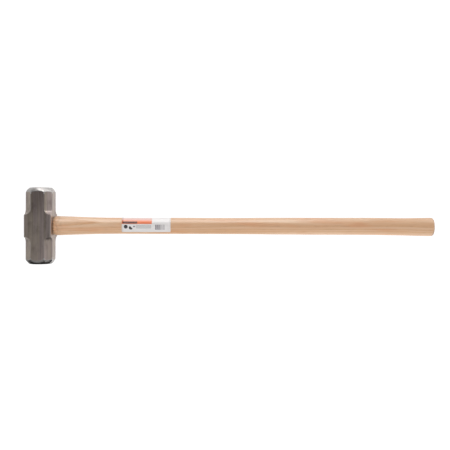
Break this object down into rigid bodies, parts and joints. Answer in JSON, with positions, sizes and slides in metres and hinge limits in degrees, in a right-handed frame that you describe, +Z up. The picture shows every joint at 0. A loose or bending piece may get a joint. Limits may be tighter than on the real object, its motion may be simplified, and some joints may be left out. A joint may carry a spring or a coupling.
{
  "type": "sledgehammer",
  "caption": "Two-handed sledgehammer: forged double-face head, octagonal towards its bevelled faces, wedged on a long straight oval wooden handle.",
  "frame": {"origin": "middle of the resting cheek of the head, straight below the middle of the eye", "axes": "+X along the handle from the head towards the grip, Y along the striking axis, +Z up from the cheek that the head lies on"},
  "size_m": [0.9, 0.1696, 0.0595],
  "materials": {
    "forged_steel": "forged and ground steel under clear varnish, satin",
    "handle_wood": "pale straight-grained hardwood, thin clear lacquer",
    "wedge_wood": "sawn hardwood end grain",
    "wedge_steel": "cut mild steel, hammered top",
    "label_paper": "white printed paper, slightly glossy"
  },
  "bodies": {
    "root": {"head": "forged_steel", "handle": "handle_wood", "wood_wedge": "wedge_wood", "steel_wedge_front": "wedge_steel", "steel_wedge_back": "wedge_steel", "label": "label_paper"}
  },
  "joints": []
}
